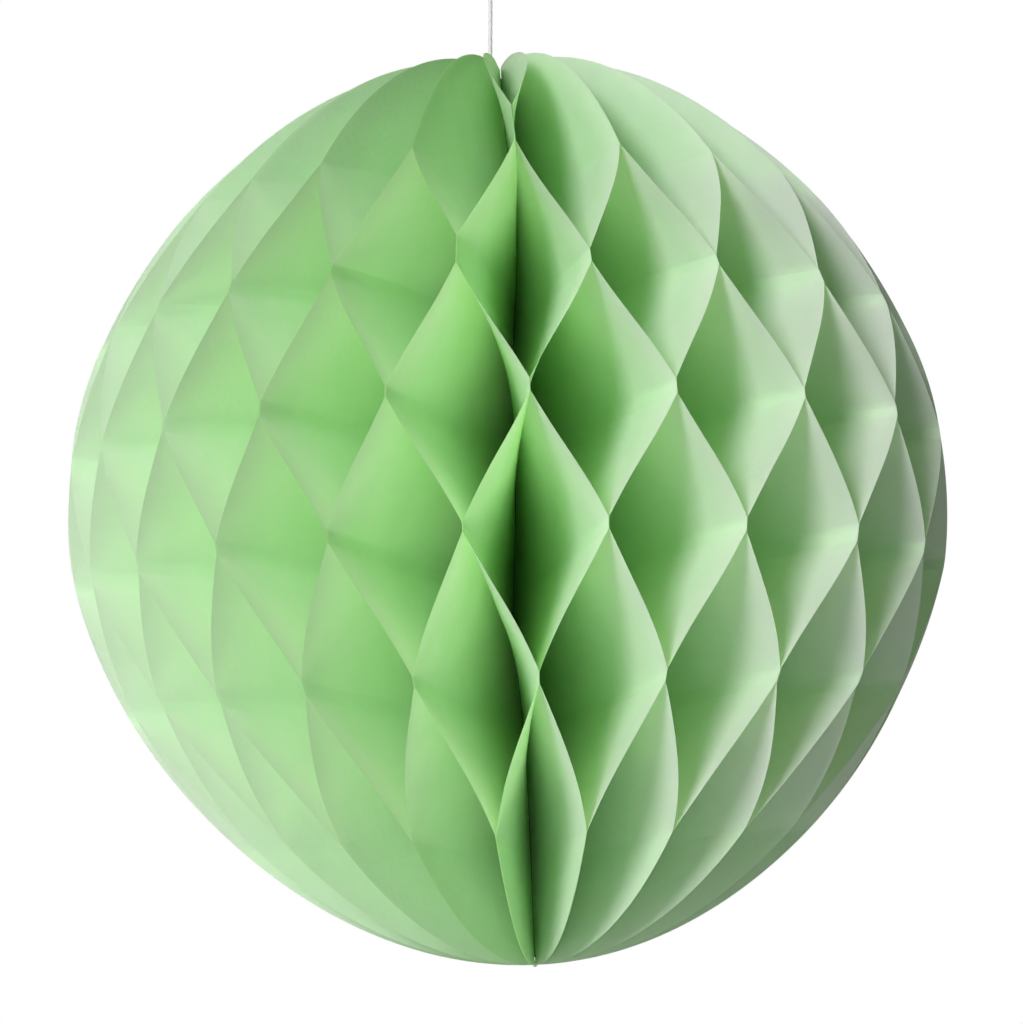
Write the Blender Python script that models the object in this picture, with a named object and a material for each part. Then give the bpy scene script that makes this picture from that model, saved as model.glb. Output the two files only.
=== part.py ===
# Honeycomb paper ball, hung on a thread.
# Half-disc sheets of tissue stand like a fan all the way round a stitched spine. On the odd glue
# lines a sheet is glued to one neighbour, on the even ones to the other, and so the opened fan
# has diamond cells, widest at the rim and closing towards the spine.
# The model is in metres. Z is the spine, and the origin is the middle of the ball.
import math

import bpy
import numpy as np

# Driving dimensions of the ball
ballHeight = 0.1            # pole to pole, the straight edge of a sheet
sheetReach = 0.0481         # from the spine's axis to the widest point of a sheet
outOfRound = 0.001          # how far the ball's outline has slipped to the left of its spine
paperThickness = 0.0001
gluePitch = 0.0145          # from one glue line to the next, along the sheet
topGlueLine = 0.0335        # height of the first glue line
glueBand = 0.0012           # width of a glue line
glueGap = 0.0002            # clear distance from a sheet to its neighbour and to the spine
poleEdge = 0.001            # length of the short cut edge at a sheet's two tips
spineRecess = 0.0008        # how far the spine's lower end stops short of the pole

# The thread, its knots and its loop
threadDiameter = 0.0005
threadGap = 0.0003          # clear distance where thread, knots and spine meet
lowerKnotWidth = 0.0011
lowerKnotHeight = 0.0009
upperKnotWidth = 0.0014
upperKnotHeight = 0.0018
loopHeight = 0.009
loopWidth = 0.0052

# Counts, shares and angles
sheetCount = 44             # even, so that the glue lines alternate all the way round
foldSoftness = 0.08         # 0 is a sharp crease beside each glue line, 1 the softest bend
fanTurn = math.radians(2.0)      # where the first seam stands, to the right of straight ahead
fanCrowding = math.radians(8.7)  # how far the sheets have crowded towards the left
stepsBetweenLines = 3       # rows of facets from one glue line to the next
poleAngles = (0.1, 0.24)    # extra rows near a tip, as angles seen from the ball's middle
spineSides = 24
curveSteps = 40             # points between two of a cord's, before they are read off evenly
cordStep = 2.5              # length of a cord's facets, in its diameters
loopSteps = 26
loopFullness = 1.3          # keeps the drop as wide as loopWidth
firstLoopAngle = 0.6        # where the loop's two ends leave its knot, of a whole turn of 2 pi

# Where the thread runs above the ball, point by point, from the spine's top to its upper knot
threadRoute = [
    (0.0, 0.0003, 0.0503),
    (0.00006, 0.0003, 0.0523),
    (0.00028, 0.00035, 0.0577),
    (0.0006, 0.0004, 0.0657),
    (0.00096, 0.0004, 0.0747),
    (0.00136, 0.0004, 0.0847),
]

halfHeight = ballHeight / 2
seamStep = 2 * math.pi / sheetCount


def clearScene():
    for thing in list(bpy.data.objects):
        bpy.data.objects.remove(thing, do_unlink=True)


def paintMaterial(name, colour, roughness):
    material = bpy.data.materials.new(name)
    material.use_nodes = True
    shader = material.node_tree.nodes["Principled BSDF"]
    shader.inputs["Base Color"].default_value = (*colour, 1)
    shader.inputs["Roughness"].default_value = roughness
    shader.inputs["Metallic"].default_value = 0.0
    return material


def addMesh(name, points, faces, material, smooth=False):
    mesh = bpy.data.meshes.new(name)
    mesh.from_pydata([tuple(p) for p in points], [], [tuple(int(v) for v in f) for f in faces])
    mesh.materials.append(material)
    if smooth:
        mesh.shade_smooth()
    piece = bpy.data.objects.new(name, mesh)
    bpy.context.scene.collection.objects.link(piece)
    return piece


# Seams are the planes in which neighbouring sheets are glued. Their azimuth runs from straight
# ahead, which is -Y, towards +X, and their spacing widens on the right where the fan is opened most.
def seamAzimuth(seam):
    turn = seam * seamStep
    return fanTurn + turn + fanCrowding * (1 - math.cos(turn))


def wedgeOf(sheet):
    # A sheet has the wedge between two seams to itself: its middle azimuth and its half angle
    first, second = seamAzimuth(sheet), seamAzimuth(sheet + 1)
    return (first + second) / 2, (second - first) / 2


def sideLimit(halfAngle, distance):
    # How far to the side a sheet's middle may lie, at a distance along its wedge, to be glued there
    return distance * math.tan(halfAngle) - glueGap / 2 / math.cos(halfAngle) - paperThickness / 2


def coreDistance():
    # The sheets' straight edges stand here, side by side, where the narrowest wedge just holds one
    narrowest = min(wedgeOf(sheet)[1] for sheet in range(sheetCount))
    return (glueGap / 2 / math.cos(narrowest) + paperThickness / 2) / math.tan(narrowest)


def rimDistance(azimuth, height):
    # Half an ellipse: the outline that the sheets are cut to
    reach = sheetReach - outOfRound * math.sin(azimuth)
    return reach * np.sqrt(np.maximum(1 - (height / halfHeight) ** 2, 0))


def drawnHeight(height, distance):
    # A wall that crosses to the next seam takes up length, so the rim is drawn in towards the middle
    sideways = seamStep * distance / gluePitch
    return height * np.sqrt(1 - sideways ** 2)


def sideShare(height, sheet):
    # -1 on the glue lines of the sheet's first seam, 1 on those of its second, and between them
    # a straight run with softly bent ends
    line = (topGlueLine - height) / gluePitch
    below = np.floor(line)
    band = glueBand / gluePitch / 2
    run = np.clip((line - below - band) / (1 - 2 * band), 0, 1)
    crossed = run - foldSoftness * np.sin(2 * np.pi * run) / (2 * np.pi)
    start = np.where((below + sheet) % 2 == 0, -1.0, 1.0)
    return start * (1 - 2 * crossed)


def rowHeights(azimuth, core):
    # Rows at both edges of each glue line, a few between, and more near the tips
    reach = sheetReach - outOfRound * math.sin(azimuth)
    tip = halfHeight * math.sqrt(1 - ((core + poleEdge) / reach) ** 2)
    band = glueBand / gluePitch / 2
    firstLine = math.floor((topGlueLine - tip) / gluePitch)
    lastLine = math.ceil((topGlueLine + tip) / gluePitch)
    shares = np.linspace(band, 1 - band, stepsBetweenLines + 1)
    lines = np.concatenate([line + shares for line in range(firstLine, lastLine + 1)])
    heights = topGlueLine - lines * gluePitch
    nearTips = halfHeight * np.cos(np.array(poleAngles))
    nearest = nearTips.min()
    heights = heights[np.abs(heights) < nearest - glueBand]
    heights = np.concatenate([[tip, -tip], nearTips[nearTips < tip], -nearTips[nearTips < tip], heights])
    return np.sort(heights)


def gridFaces(rows):
    # Triangles of a strip of two columns, with its points counted row by row
    faces = []
    for row in range(rows - 1):
        a, b, c, d = 2 * row, 2 * row + 1, 2 * row + 3, 2 * row + 2
        faces += [(a, b, c), (a, c, d)]
    return faces


def addSheet(sheet, core, material):
    # Each row of a sheet is a straight line from the spine to the rim
    azimuth, halfAngle = wedgeOf(sheet)
    heights = rowHeights(azimuth, core)
    distances = np.stack([np.full(len(heights), core), rimDistance(azimuth, heights)], 1)
    level = heights[:, None]
    side = sideLimit(halfAngle, distances) * sideShare(level, sheet)
    up = drawnHeight(level, distances)
    ahead = np.array([math.sin(azimuth), -math.cos(azimuth)])
    across = np.array([math.cos(azimuth), math.sin(azimuth)])
    walls = []
    for shift in (-paperThickness / 2, paperThickness / 2):
        x = outOfRound + distances * ahead[0] + (side + shift) * across[0]
        y = distances * ahead[1] + (side + shift) * across[1]
        walls.append(np.stack([x, y, up], -1).reshape(-1, 3))
    rows, count = len(heights), 2 * len(heights)
    front = gridFaces(rows)
    back = [(a + count, c + count, b + count) for a, b, c in front]
    # The edge runs once round the front wall: up the spine side, over the tip and down the rim
    edge = [2 * row for row in range(rows)] + [2 * row + 1 for row in reversed(range(rows))]
    rim = []
    for here, after in zip(edge, edge[1:] + edge[:1]):
        rim += [(here, after, after + count), (here, after + count, here + count)]
    # Across, ahead and up form a right-handed set, so the front wall's faces look back along it
    return addMesh(f"paper_sheet_{sheet + 1:02d}", np.concatenate(walls), front + back + rim, material)


def addSpine(core, material):
    # The stitched and glued bundle that the sheets' straight edges make round the thread
    radius = core - glueGap
    angles = np.arange(spineSides) * 2 * math.pi / spineSides
    ring = np.stack([outOfRound + radius * np.cos(angles), radius * np.sin(angles)], 1)
    low = np.column_stack([ring, np.full(spineSides, spineRecess - halfHeight)])
    high = np.column_stack([ring, np.full(spineSides, halfHeight)])
    order = list(range(spineSides))
    faces = [tuple(reversed(order)), tuple(v + spineSides for v in order)]
    for here in order:
        after = (here + 1) % spineSides
        faces.append((here, after, after + spineSides, here + spineSides))
    return addMesh("stitched_spine", np.concatenate([low, high]), faces, material)


def addKnot(name, centre, width, height, material):
    # A knot drawn tight is close to an egg of thread
    rings, sides = 8, 12
    lat = np.linspace(-math.pi / 2, math.pi / 2, rings + 1)[1:-1]
    lon = np.arange(sides) * 2 * math.pi / sides
    x = np.outer(np.cos(lat), np.cos(lon)) * width / 2
    y = np.outer(np.cos(lat), np.sin(lon)) * width / 2
    z = np.outer(np.sin(lat), np.ones(sides)) * height / 2
    points = np.concatenate([[[0, 0, -height / 2]], np.stack([x, y, z], -1).reshape(-1, 3),
                             [[0, 0, height / 2]]]) + np.array(centre)
    last = len(points) - 1
    faces = []
    for k in range(sides):
        after = (k + 1) % sides
        faces.append((0, 1 + after, 1 + k))
        faces.append((last, last - sides + k, last - sides + after))
        for ring in range(rings - 2):
            base = 1 + ring * sides
            faces.append((base + k, base + after, base + sides + after, base + sides + k))
    return addMesh(name, points, faces, material, smooth=True)


def smoothRoute(points, step):
    # A Catmull-Rom curve through the points, read off at even steps
    route = np.array(points)
    ends = np.vstack([2 * route[0] - route[1], route, 2 * route[-1] - route[-2]])
    shares = np.linspace(0, 1, curveSteps, endpoint=False)[:, None]
    parts = []
    for p0, p1, p2, p3 in zip(ends, ends[1:], ends[2:], ends[3:]):
        parts.append(0.5 * (2 * p1 + (p2 - p0) * shares + (2 * p0 - 5 * p1 + 4 * p2 - p3) * shares ** 2
                            + (3 * p1 - p0 - 3 * p2 + p3) * shares ** 3))
    fine = np.vstack(parts + [route[-1:]])
    along = np.concatenate([[0], np.cumsum(np.linalg.norm(np.diff(fine, axis=0), axis=1))])
    marks = np.linspace(0, along[-1], max(3, round(along[-1] / step) + 1))
    return np.stack([np.interp(marks, along, fine[:, axis]) for axis in range(3)], 1)


def addCord(name, points, diameter, material):
    curve = bpy.data.curves.new(name, "CURVE")
    curve.dimensions = "3D"
    curve.bevel_depth = diameter / 2
    curve.bevel_resolution = 2
    curve.use_fill_caps = True
    spline = curve.splines.new("POLY")
    spline.points.add(len(points) - 1)
    spline.points.foreach_set("co", np.column_stack([points, np.ones(len(points))]).ravel())
    curve.materials.append(material)
    piece = bpy.data.objects.new(name, curve)
    bpy.context.scene.collection.objects.link(piece)
    return piece


def loopRoute(foot, lean):
    # A drop-shaped loop: wide at the top, its two ends side by side on the knot
    turn = np.linspace(firstLoopAngle, 2 * math.pi - firstLoopAngle, loopSteps)
    sideways = loopWidth / 2 * np.sin(turn) * np.sin(turn / 2) * loopFullness
    upwards = loopHeight * (np.cos(firstLoopAngle) - np.cos(turn)) / 2
    return np.array(foot) + np.outer(sideways, [1, 0, 0]) + np.outer(upwards, lean)


def addThread(material):
    route = np.array(threadRoute)
    lean = (route[-1] - route[-2]) / np.linalg.norm(route[-1] - route[-2])
    addCord("hanging_thread", smoothRoute(threadRoute, cordStep * threadDiameter),
            threadDiameter, material)
    knot = route[-1] + lean * (threadGap + upperKnotHeight / 2)
    addKnot("upper_knot", knot, upperKnotWidth, upperKnotHeight, material)
    foot = knot + lean * (upperKnotHeight / 2 + threadGap)
    addCord("thread_loop", loopRoute(foot, lean), threadDiameter, material)
    lower = (outOfRound, 0, spineRecess - halfHeight - threadGap - lowerKnotHeight / 2)
    addKnot("lower_knot", lower, lowerKnotWidth, lowerKnotHeight, material)


clearScene()
paper = paintMaterial("green tissue paper", (0.26, 0.6, 0.19), 0.75)
binding = paintMaterial("glued and stitched tissue", (0.1, 0.33, 0.05), 0.8)
cotton = paintMaterial("white sewing thread", (0.8, 0.8, 0.78), 0.7)
core = coreDistance()
addSpine(core, binding)
for sheet in range(sheetCount):
    addSheet(sheet, core, paper)
addThread(cotton)
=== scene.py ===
# Honeycomb paper ball of green tissue on a white thread, in metres, with Z along its spine
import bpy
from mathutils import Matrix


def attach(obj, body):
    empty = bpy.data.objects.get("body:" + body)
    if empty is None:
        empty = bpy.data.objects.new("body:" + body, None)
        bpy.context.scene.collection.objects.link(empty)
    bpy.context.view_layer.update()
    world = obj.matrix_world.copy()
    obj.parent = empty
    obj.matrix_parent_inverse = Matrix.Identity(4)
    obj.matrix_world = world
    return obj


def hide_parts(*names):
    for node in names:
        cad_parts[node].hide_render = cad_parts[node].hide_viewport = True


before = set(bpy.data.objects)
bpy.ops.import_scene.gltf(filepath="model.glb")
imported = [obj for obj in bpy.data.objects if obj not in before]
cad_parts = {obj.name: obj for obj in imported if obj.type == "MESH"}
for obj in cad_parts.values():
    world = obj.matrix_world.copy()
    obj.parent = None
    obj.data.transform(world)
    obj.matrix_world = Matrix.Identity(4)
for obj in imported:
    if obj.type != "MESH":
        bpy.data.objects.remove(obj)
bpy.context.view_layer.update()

import math
import bpy
import numpy as np
from mathutils import Matrix, Vector

print("frame loaded:", len(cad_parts), "nodes")


def toLinear(code):
    # Colours are written as sRGB hex, and this turns them to linear light
    parts = [int(code[i:i + 2], 16) / 255 for i in (1, 3, 5)]
    return [p / 12.92 if p <= 0.04045 else ((p + 0.055) / 1.055) ** 2.4 for p in parts] + [1.0]


def addNode(tree, kind, settings=None, links=()):
    # Adds one shader node. Settings go by socket name, socket number or property name, and a link is
    # (socket, from node, from output).
    node = tree.nodes.new(kind)
    for key, value in (settings or {}).items():
        if isinstance(key, int) or key in node.inputs:
            node.inputs[key].default_value = value
        else:
            setattr(node, key, value)
    for socket, source, output in links:
        tree.links.new(source.outputs[output], node.inputs[socket])
    return node


def newMaterial(name):
    # A material with nothing in its node tree yet
    material = bpy.data.materials.new(name)
    material.use_nodes = True
    material.node_tree.nodes.clear()
    return material, material.node_tree


def addNoise(tree, place, grain, detail, roughness=0.5):
    # Noise with a grain of that many millimetres on the object
    settings = {"Scale": 1000 / grain, "Detail": detail, "Roughness": roughness}
    return addNode(tree, "ShaderNodeTexNoise", settings, [("Vector", place, "Object")])


def addTone(tree, low, high, noise):
    # A colour between two, as the noise goes from 0 to 1
    ends = {"data_type": "RGBA", 6: toLinear(low), 7: toLinear(high)}
    return addNode(tree, "ShaderNodeMix", ends, [(0, noise, "Fac")])


def addBump(tree, strength, depth, noise):
    # A bump of that depth in millimetres
    settings = {"Strength": strength, "Distance": depth / 1000}
    return addNode(tree, "ShaderNodeBump", settings, [("Height", noise, "Fac")])


def joinShaders(tree, front, through, share):
    # The front takes 1 - share of the light that falls on the surface, and share comes through it
    both = addNode(tree, "ShaderNodeMixShader", {0: share}, [(1, front, "BSDF"), (2, through, "BSDF")])
    addNode(tree, "ShaderNodeOutputMaterial", links=[("Surface", both, "Shader")])


def gridPiece(name, points, material, closed=False, ring=False, capped=False):
    # Puts a grid of points (rows x columns x 3) into a mesh. closed joins the last column to the
    # first, ring joins the last row to the first, and capped fills the first and last rows.
    rows, columns = points.shape[:2]
    index = np.arange(rows * columns).reshape(rows, columns)
    if closed:
        index = np.concatenate([index, index[:, :1]], axis=1)
    if ring:
        index = np.concatenate([index, index[:1]])
    quads = np.stack([index[:-1, :-1], index[:-1, 1:], index[1:, 1:], index[1:, :-1]], -1).reshape(-1, 4)
    corners, starts = quads.ravel(), np.arange(len(quads)) * 4
    if capped:
        ends = [np.arange(columns)[::-1], (rows - 1) * columns + np.arange(columns)]
        starts = np.concatenate([starts, [len(corners), len(corners) + columns]])
        corners = np.concatenate([corners] + ends)
    mesh = bpy.data.meshes.new(name)
    mesh.vertices.add(rows * columns)
    mesh.vertices.foreach_set("co", points.reshape(-1).astype(np.float32))
    mesh.loops.add(len(corners))
    mesh.loops.foreach_set("vertex_index", corners.astype(np.int32))
    mesh.polygons.add(len(starts))
    mesh.polygons.foreach_set("loop_start", starts.astype(np.int32))
    mesh.update(calc_edges=True)
    mesh.validate()
    mesh.shade_smooth()
    mesh.materials.append(material)
    piece = bpy.data.objects.new(name, mesh)
    bpy.context.scene.collection.objects.link(piece)
    return piece


# Camera: the photograph's place, with the picture's size in pixels and distances in metres
camera = dict(
    distance=0.27, elevation=-8.55, roll=2.29, aim=(0.001, 0.0, 0.0),
    focalPixels=2440, pictureSize=(1023, 1024), centrePixel=(516.6, 505.6), sensor=36.0, clip=(0.01, 50))


def addCamera(c):
    # Looks at the ball's middle, which a small shift puts on its pixel of the picture
    tilt = math.radians(c["elevation"])
    back = Vector((0, -math.cos(tilt), math.sin(tilt)))
    side, turn = Vector((1, 0, 0)), math.radians(c["roll"])
    level = back.cross(side)
    right = side * math.cos(turn) - level * math.sin(turn)
    up = side * math.sin(turn) + level * math.cos(turn)
    data = bpy.data.cameras.new("photoCamera")
    width, height = c["pictureSize"]
    longest = max(width, height)
    data.sensor_width = c["sensor"]
    data.lens = c["focalPixels"] / longest * c["sensor"]
    data.shift_x = (width / 2 - c["centrePixel"][0]) / longest
    data.shift_y = (c["centrePixel"][1] - height / 2) / longest
    data.clip_start, data.clip_end = c["clip"]
    placed = bpy.data.objects.new("photoCamera", data)
    bpy.context.scene.collection.objects.link(placed)
    turned = Matrix((right, up, back)).transposed()
    placed.matrix_world = Matrix.Translation(Vector(c["aim"]) + back * c["distance"]) @ turned.to_4x4()
    bpy.context.scene.camera = placed


addCamera(camera)
print("camera placed")


# The thread above the ball, point by point as in the model, then its knot and its loop. knotHeight
# is the whole knot's, and knotWidth and knotReach are those of the line that the knot's cord follows.
# fibre and fibreDepth are millimetres.
thread = dict(
    route=[(0.0, 0.0003, 0.0503), (0.00006, 0.0003, 0.0523), (0.00028, 0.00035, 0.0577),
           (0.0006, 0.0004, 0.0657), (0.00096, 0.0004, 0.0747), (0.00136, 0.0004, 0.0847)],
    diameter=0.0005, strands=2, strandTurn=0.0022, lobe=0.08, sides=20, step=0.0001, pathPoints=30,
    knotHeight=0.0018, gap=0.0003, knotWidth=0.0011, knotReach=0.0016, knotCord=0.00045, tuck=0.0002,
    loopHeight=0.009, loopWidth=0.0052, loopFullness=1.3, firstLoopAngle=0.6,
    shade="#F8FAF9", light="#FFFFFF", share=0.5, roughness=0.55, refraction=1.5,
    fibre=0.11, fibreDetail=2.0, fibreDepth=0.01, fibreStrength=0.4)


def threadMaterial(t):
    # Twisted polyester sewing thread: white, slightly glossy filaments that let some light through
    material, tree = newMaterial("twisted polyester sewing thread")
    place = addNode(tree, "ShaderNodeTexCoord")
    fibre = addNoise(tree, place, t["fibre"], t["fibreDetail"])
    tone = addTone(tree, t["shade"], t["light"], fibre)
    bump = addBump(tree, t["fibreStrength"], t["fibreDepth"], fibre)
    front = addNode(tree, "ShaderNodeBsdfPrincipled", {"Roughness": t["roughness"], "IOR": t["refraction"]},
                    [("Base Color", tone, 2), ("Normal", bump, "Normal")])
    through = addNode(tree, "ShaderNodeBsdfTranslucent", links=[("Color", tone, 2)])
    joinShaders(tree, front, through, t["share"])
    return material


def smoothRoute(points, step, perSpan=40):
    # A Catmull-Rom curve through the points, read off at even steps
    route = np.array(points)
    ends = np.vstack([2 * route[0] - route[1], route, 2 * route[-1] - route[-2]])
    share = np.linspace(0, 1, perSpan, endpoint=False)[None, :, None]
    p0, p1, p2, p3 = (ends[k:len(ends) - 3 + k, None, :] for k in range(4))
    fine = 0.5 * (2 * p1 + (p2 - p0) * share + (2 * p0 - 5 * p1 + 4 * p2 - p3) * share ** 2
                  + (3 * p1 - p0 - 3 * p2 + p3) * share ** 3)
    fine = np.vstack([fine.reshape(-1, 3), route[-1:]])
    along = np.concatenate([[0], np.cumsum(np.linalg.norm(np.diff(fine, axis=0), axis=1))])
    marks = np.linspace(0, along[-1], max(3, round(along[-1] / step) + 1))
    return np.stack([np.interp(marks, along, fine[:, axis]) for axis in range(3)], 1)


def twistedCord(path, t, diameter, ring=False):
    # A profile with one lobe a strand is carried along the path and turned evenly with the length.
    # On a ring the turns are rounded to whole strands, so that the last profile meets the first.
    ahead = np.roll(path, -1, axis=0) - np.roll(path, 1, axis=0) if ring else np.gradient(path, axis=0)
    tangent = ahead / np.linalg.norm(ahead, axis=1, keepdims=True)
    first = np.cross(tangent, [0.0, 1.0, 0.0])
    first /= np.linalg.norm(first, axis=1, keepdims=True)
    second = np.cross(tangent, first)
    steps = np.linalg.norm(np.diff(path, axis=0, append=path[:1]), axis=1)
    along = np.concatenate([[0], np.cumsum(steps[:-1])])
    length = along[-1] + steps[-1] if ring else along[-1]
    turns = length / t["strandTurn"]
    if ring:
        turns = round(turns * t["strands"]) / t["strands"]
    angle = np.arange(t["sides"]) * 2 * np.pi / t["sides"]
    twist = along[:, None] / length * turns * 2 * np.pi
    radius = diameter / 2 * (1 - t["lobe"] + t["lobe"] * np.cos(t["strands"] * (angle[None, :] - twist)))
    return (path[:, None, :] + (radius * np.cos(angle))[..., None] * first[:, None, :]
            + (radius * np.sin(angle))[..., None] * second[:, None, :])


def loopPath(foot, lean, t, points=240):
    # A drop: sideways sin(turn) sin(turn / 2), upwards -cos(turn), between the two ends on the knot
    turn = np.linspace(t["firstLoopAngle"], 2 * math.pi - t["firstLoopAngle"], points)
    sideways = t["loopWidth"] / 2 * t["loopFullness"] * np.sin(turn) * np.sin(turn / 2)
    upwards = t["loopHeight"] * (np.cos(t["firstLoopAngle"]) - np.cos(turn)) / 2
    return np.array(foot) + np.outer(sideways, [1, 0, 0]) + np.outer(upwards, lean)


def knotPath(centre, lean, width, height, points=160):
    # A trefoil: sin a + 2 sin 2a sideways and cos a - 2 cos 2a along the lean, both under 6 across and
    # so brought within the knot's size, and sin 3a from front to back, brought to half the width
    a = np.arange(points) * 2 * np.pi / points
    sideways = (np.sin(a) + 2 * np.sin(2 * a)) * width / 6
    upwards = (np.cos(a) - 2 * np.cos(2 * a)) * height / 6
    deep = -np.sin(3 * a) * width / 4
    return np.array(centre) + np.stack([sideways, deep, 0 * a], 1) + np.outer(upwards, lean)


def addThread(t, polyester):
    route = np.array(t["route"])
    lean = (route[-1] - route[-2]) / np.linalg.norm(route[-1] - route[-2])
    path = smoothRoute(t["route"], t["step"])
    tube = twistedCord(path, t, t["diameter"])
    cord = gridPiece("hangingThread", tube, polyester, closed=True, capped=True)
    centre = route[-1] + lean * (t["gap"] + t["knotHeight"] / 2)
    tube = twistedCord(knotPath(centre, lean, t["knotWidth"], t["knotReach"]), t, t["knotCord"], ring=True)
    knot = gridPiece("upperKnot", tube, polyester, closed=True, ring=True)
    # Both ends of the loop are led down into the knot, as the real thread's are
    inside = centre + lean * t["tuck"]
    drop = loopPath(centre + lean * (t["knotHeight"] / 2 + t["gap"]), lean, t)
    tube = twistedCord(smoothRoute(np.vstack([inside, drop, inside]), t["step"]), t, t["diameter"])
    loop = gridPiece("threadLoop", tube, polyester, closed=True, capped=True)
    for piece, node in ((cord, "hanging_thread"), (loop, "thread_loop"), (knot, "upper_knot")):
        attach(piece, "root")
        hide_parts(node)


polyester = threadMaterial(thread)
addThread(thread, polyester)
print("thread made")


# The ball: the same sizes and formulas as the model's, with finer sheets. A sheet of tissue is
# 0.04 mm thick, which is too thin to show here, so each is one surface that light falls on and
# comes through. bondGap is from sheet to sheet through the glue.
ball = dict(
    height=0.1, reach=0.0481, slipped=0.001, pitch=0.0145, topLine=0.0335, band=0.0012,
    sheets=44, fanTurn=2.0, crowding=8.7, softness=0.08, innerSoftness=0.3,
    bondGap=0.00007, tipEdge=0.0006, rows=150, columns=16, columnCrowding=0.8,
    linesAbove=2, lineCount=10, lastLine=5, bondSpread=(0.7, 1.5), partedTops=(0,),
    longBonds={(0, 0): (0.0042, 0.0005), (43, 1): (0.0026, 0.0006)},
    spineBends=((0.031, 0.0012, 0.012), (-0.013, -0.0008, 0.01)),
    slack=0.03, slackLength=(0.007, 0.02), slackWaves=6, rimSlack=0.4, rimPower=6,
    cutError=0.0002, heightDecimals=5, seed=7)


def seamAzimuth(seam, b):
    # The fan's even turns, spread by crowding (1 - cos turn), from straight ahead towards +X
    turn = seam * 2 * math.pi / b["sheets"]
    return math.radians(b["fanTurn"]) + turn + math.radians(b["crowding"]) * (1 - math.cos(turn))


def spineShift(height, b):
    # How far the spine stands aside: one bell curve a bend, by its height, size and half width
    bends = b["spineBends"]
    return sum(size * np.exp(-((height - middle) / width) ** 2) for middle, size, width in bends)


def coreDistance(b):
    # Where the sheets' inner edges just stand side by side in the narrowest wedge
    halves = [(seamAzimuth(k + 1, b) - seamAzimuth(k, b)) / 2 for k in range(b["sheets"])]
    return b["bondGap"] / 2 / math.tan(min(halves))


def bondLengths(b):
    # How far each glue line holds its two sheets together above and below it, by seam and line,
    # from linesAbove lines above the top one
    random = np.random.default_rng(b["seed"])
    lengths = b["band"] / 2 * random.uniform(*b["bondSpread"], (b["sheets"], b["lineCount"], 2))
    for (seam, line), both in b["longBonds"].items():
        lengths[seam, line + b["linesAbove"]] = both
    return lengths


def slackWave(height, distance, random, b):
    # The mean of a few sine waves of random direction, length and phase across the sheet
    count = b["slackWaves"]
    ways, phases = random.uniform(0, np.pi, count), random.uniform(0, 2 * np.pi, count)
    lengths = random.uniform(*b["slackLength"], count)
    waves = [np.sin(2 * np.pi * (height * math.sin(way) + distance * math.cos(way)) / length + phase)
             for way, length, phase in zip(ways, lengths, phases)]
    return sum(waves) / count


def sheetPoints(sheet, bonds, b):
    # Rows run down the rim, with one at each end of each glued stretch, and columns run out from
    # the spine. Sideways each point swings between its two seams: glued flat, then a straight run
    # with bent ends, which the sheet's slack moves a little more where it is free.
    random = np.random.default_rng(b["seed"] + sheet)
    first, second = seamAzimuth(sheet, b), seamAzimuth(sheet + 1, b)
    azimuth, half = (first + second) / 2, (second - first) / 2
    core = coreDistance(b)
    reach = b["reach"] - b["slipped"] * math.sin(azimuth) - random.uniform(0, b["cutError"])
    tip = math.asin((core + b["tipEdge"]) / reach)
    lines = np.arange(b["lineCount"]) - b["linesAbove"]
    own = bonds[(sheet + (lines + sheet) % 2) % b["sheets"], lines + b["linesAbove"]]
    edges = (b["topLine"] - lines * b["pitch"] + np.array([own[:, 0], -own[:, 1]])).ravel()
    heights = b["height"] / 2 * np.cos(np.linspace(tip, math.pi - tip, b["rows"]))
    heights = np.concatenate([heights, edges[np.abs(edges) < heights[0]]])
    height = np.unique(heights.round(b["heightDecimals"]))[::-1, None]
    rim = reach * np.sqrt(1 - (2 * height / b["height"]) ** 2)
    outwards = np.linspace(0, 1, b["columns"])[None, :] ** b["columnCrowding"]
    distance = core + (rim - core) * outwards
    # Beyond the last glue lines the pairs cling together to the pole, but for those named as parted
    clinging = (sheet + sheet % 2) % b["sheets"] not in b["partedTops"]
    firstLine = 0 if clinging else -b["linesAbove"]
    line = np.clip((b["topLine"] - height) / b["pitch"], firstLine, b["lastLine"])
    above = np.floor(line).astype(int)
    start = own[above + b["linesAbove"], 1] / b["pitch"]
    end = own[above + b["linesAbove"] + 1, 0] / b["pitch"]
    run = np.clip((line - above - start) / (1 - start - end), 0, 1)
    inner = 1 - (distance / rim) ** b["rimPower"]
    soft = b["softness"] + (b["innerSoftness"] - b["softness"]) * inner
    crossed = run - soft * np.sin(2 * np.pi * run) / (2 * np.pi)
    free = 4 * run * (1 - run) * (b["rimSlack"] + (1 - b["rimSlack"]) * inner)
    crossed = np.clip(crossed + b["slack"] * free * slackWave(height, distance, random, b), 0, 1)
    swing = np.where((above + sheet) % 2 == 0, -1.0, 1.0) * (1 - 2 * crossed)
    side = (distance * math.tan(half) - b["bondGap"] / 2 / math.cos(half)) * swing
    # A wall that runs from seam to seam in one pitch draws the sheet in along the spine
    up = height * np.sqrt(1 - (2 * math.pi / b["sheets"] * distance / b["pitch"]) ** 2)
    drawn = spineShift(height, b) * (1 - (distance / rim) ** 2)
    x = b["slipped"] + drawn + distance * math.sin(azimuth) + side * math.cos(azimuth)
    y = -distance * math.cos(azimuth) + side * math.sin(azimuth)
    return np.stack([x, y, up], -1)


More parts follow.
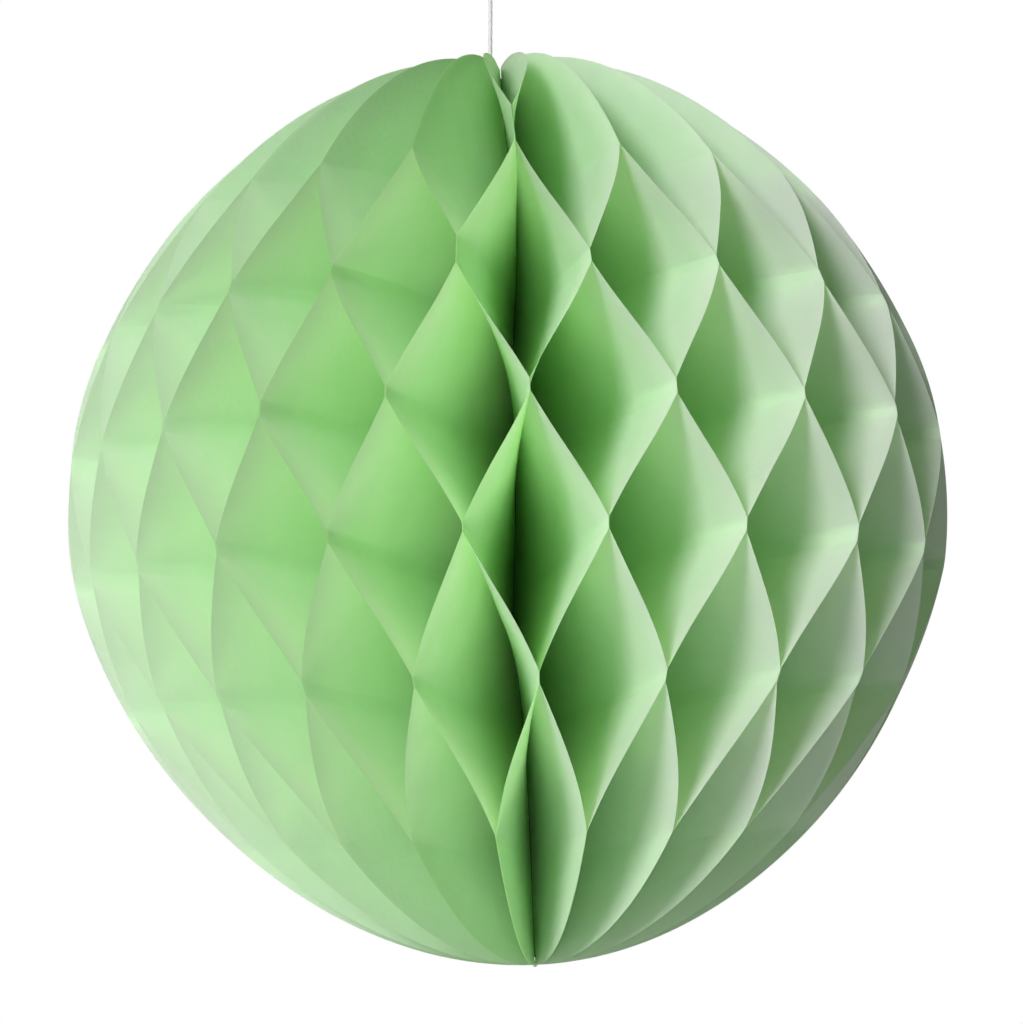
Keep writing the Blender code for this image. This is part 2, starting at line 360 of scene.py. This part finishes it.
# Tissue paper dyed in the pulp and calendered: matte, pale where light falls on it and a deep green
# where light has come through it. cloud, fibre and fibreDepth are millimetres.
tissue = dict(
    thick="#F8FBF8", thin="#FEFFFE", throughThick="#B8F792", throughThin="#CDFDAC", share=0.5,
    roughness=0.65, refraction=1.5, cloud=5.0, cloudDetail=2.0, cloudRoughness=0.6,
    fibre=0.7, fibreDetail=0.0, fibreDepth=0.02, fibreStrength=1.0)


def tissueMaterial(m):
    # Cloudy formation tints both what is sent back and what is let through, and the fibre is a bump,
    # drawn three times as coarse as it is, so that it shows
    material, tree = newMaterial("dyed tissue paper")
    place = addNode(tree, "ShaderNodeTexCoord")
    cloud = addNoise(tree, place, m["cloud"], m["cloudDetail"], m["cloudRoughness"])
    fibre = addNoise(tree, place, m["fibre"], m["fibreDetail"])
    sentBack = addTone(tree, m["thick"], m["thin"], cloud)
    letThrough = addTone(tree, m["throughThick"], m["throughThin"], cloud)
    bump = addBump(tree, m["fibreStrength"], m["fibreDepth"], fibre)
    front = addNode(tree, "ShaderNodeBsdfPrincipled", {"Roughness": m["roughness"], "IOR": m["refraction"]},
                    [("Base Color", sentBack, 2), ("Normal", bump, "Normal")])
    through = addNode(tree, "ShaderNodeBsdfTranslucent",
                      links=[("Color", letThrough, 2), ("Normal", bump, "Normal")])
    joinShaders(tree, front, through, m["share"])
    return material


def addSheets(b, m):
    paper, bonds = tissueMaterial(m), bondLengths(b)
    for sheet in range(b["sheets"]):
        piece = gridPiece(f"paperSheet{sheet + 1:02d}", sheetPoints(sheet, bonds, b), paper)
        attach(piece, "root")
        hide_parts(f"paper_sheet_{sheet + 1:02d}")


addSheets(ball, tissue)
print("sheets made")


# The spine: the stitching that the sheets' straight edges are drawn tight on, and its lower knot
spine = dict(
    diameter=0.0009, strandTurn=0.003, step=0.0004, points=25, recess=0.0008, topRecess=0.002,
    knotWidth=0.00056, knotHeight=0.0007, knotReach=0.00049, knotCord=0.00035, knotDrop=0.0003,
    glue="#5FA83C", roughness=0.5, refraction=1.5)


def spineMaterial(s):
    # Tissue edges and stitches soaked in paste: green, denser and a little smoother than the sheets
    material, tree = newMaterial("stitched tissue edges set in paste")
    settings = {"Base Color": toLinear(s["glue"]), "Roughness": s["roughness"], "IOR": s["refraction"]}
    shader = addNode(tree, "ShaderNodeBsdfPrincipled", settings)
    addNode(tree, "ShaderNodeOutputMaterial", links=[("Surface", shader, "BSDF")])
    return material


def addSpine(s, b, t, polyester):
    half = b["height"] / 2
    # It follows the sheets' inner edges and ends where the thread leaves the ball
    height = np.linspace(s["recess"] - half, half - s["topRecess"], s["points"])
    route = np.stack([b["slipped"] + spineShift(height, b), 0 * height, height], 1)
    path = smoothRoute(np.vstack([route, t["route"][0]]), s["step"])
    tube = twistedCord(path, dict(t, strandTurn=s["strandTurn"]), s["diameter"])
    stitch = gridPiece("stitchedSpine", tube, spineMaterial(s), closed=True, capped=True)
    centre = (b["slipped"], 0, s["recess"] - half - s["knotDrop"] - s["knotHeight"] / 2)
    line = knotPath(centre, (0, 0, 1), s["knotWidth"], s["knotReach"])
    tube = twistedCord(line, t, s["knotCord"], ring=True)
    knot = gridPiece("lowerKnot", tube, polyester, closed=True, ring=True)
    for piece, node, slot in ((stitch, "stitched_spine", "spine_binding"), (knot, "lower_knot", "thread")):
        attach(piece, "root")
        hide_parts(node)


addSpine(spine, ball, thread, polyester)
print("spine made")


# Studio: a soft main lamp to the left of the camera, weaker ones at the side and above, a faint fill
# all round, and a pale floor well below. Each lamp is azimuth, elevation, distance, size and level.
studio = dict(
    lamps=dict(keyLamp=(-25, 16, 1.2, 0.4, 0.87), sideLamp=(-65, 10, 1.2, 0.9, 0.33),
               topLamp=(-10, 55, 1.2, 0.9, 0.1)),
    white=(1, 1, 1, 1), backgroundLevel=1.0, fillLevel=0.02, floorDrop=0.3, floorSize=3.0,
    floorColour="#F4F4F4", floorRoughness=0.9, floorGlow=0.8, bounces=8)


def addLamp(name, azimuth, elevation, distance, size, level):
    turn, tilt = math.radians(azimuth), math.radians(elevation)
    towards = Vector((math.sin(turn) * math.cos(tilt), -math.cos(turn) * math.cos(tilt), math.sin(tilt)))
    light = bpy.data.lights.new(name, "AREA")
    light.shape, light.size = "DISK", size
    # At this power a white surface that faces the lamp is lit to the level asked
    light.energy = level * math.pi ** 2 * distance ** 2
    lamp = bpy.data.objects.new(name, light)
    lamp.location = towards * distance
    lamp.rotation_euler = towards.to_track_quat("Z", "Y").to_euler()
    bpy.context.scene.collection.objects.link(lamp)


def addWorld(s):
    # The camera sees a white background, and the object only the faint fill
    world = bpy.data.worlds.new("studioWorld")
    bpy.context.scene.world = world
    world.use_nodes = True
    tree = world.node_tree
    tree.nodes.clear()
    path = addNode(tree, "ShaderNodeLightPath")
    fill = addNode(tree, "ShaderNodeBackground", {"Color": s["white"], "Strength": s["fillLevel"]})
    seen = addNode(tree, "ShaderNodeBackground", {"Color": s["white"], "Strength": s["backgroundLevel"]})
    both = addNode(tree, "ShaderNodeMixShader",
                   links=[(0, path, "Is Camera Ray"), (1, fill, 0), (2, seen, 0)])
    addNode(tree, "ShaderNodeOutputWorld", links=[("Surface", both, "Shader")])


def addFloor(s):
    material, tree = newMaterial("matte white paper backdrop")
    plain = addNode(tree, "ShaderNodeBsdfPrincipled",
                    {"Base Color": toLinear(s["floorColour"]), "Roughness": s["floorRoughness"]})
    # For the camera most of it is white, so that it joins the background, and the rest keeps the shadow
    path = addNode(tree, "ShaderNodeLightPath")
    share = addNode(tree, "ShaderNodeMath", {"operation": "MULTIPLY", 1: s["floorGlow"]},
                    [(0, path, "Is Camera Ray")])
    glow = addNode(tree, "ShaderNodeEmission", {"Color": s["white"], "Strength": s["backgroundLevel"]})
    both = addNode(tree, "ShaderNodeMixShader", links=[(0, share, 0), (1, plain, "BSDF"), (2, glow, 0)])
    addNode(tree, "ShaderNodeOutputMaterial", links=[("Surface", both, "Shader")])
    side = np.array([-0.5, 0.5]) * s["floorSize"]
    x, y = np.meshgrid(side, side)
    floor = gridPiece("studioFloor", np.stack([x, y, 0 * x - s["floorDrop"]], -1), material)


for name, values in studio["lamps"].items():
    addLamp(name, *values)
addWorld(studio)
addFloor(studio)
bpy.context.scene.view_settings.view_transform = "Standard"
# Light crosses many sheets before it leaves the ball
cycles = bpy.context.scene.cycles
cycles.max_bounces = cycles.diffuse_bounces = cycles.transmission_bounces = studio["bounces"]
print("studio lit")
